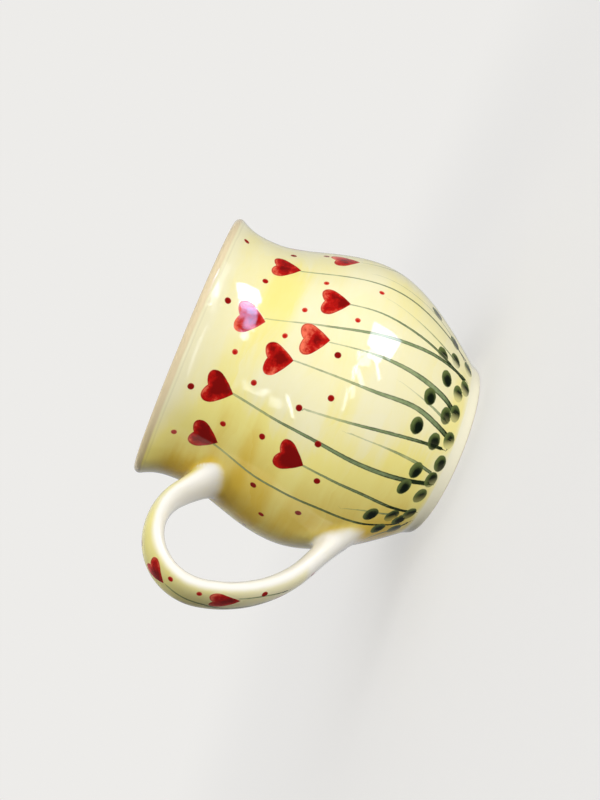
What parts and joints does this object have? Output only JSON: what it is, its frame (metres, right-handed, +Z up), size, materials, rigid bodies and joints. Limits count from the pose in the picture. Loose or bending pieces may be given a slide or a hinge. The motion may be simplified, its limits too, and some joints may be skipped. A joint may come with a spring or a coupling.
{
  "type": "mug",
  "caption": "Round-bellied ceramic mug with a drawn-in neck, flared lip, low foot ring and a looped strap handle.",
  "frame": {"origin": "middle of the underside of the foot ring, on the axis of the cup", "axes": "+Z up through the mouth, +X from the axis towards the handle"},
  "size_m": [0.1272, 0.096, 0.09],
  "materials": {
    "glaze": "pale yellow gloss glaze over cream earthenware, with brushed red hearts on green stems"
  },
  "bodies": {
    "root": {"mug": "glaze"}
  },
  "joints": []
}
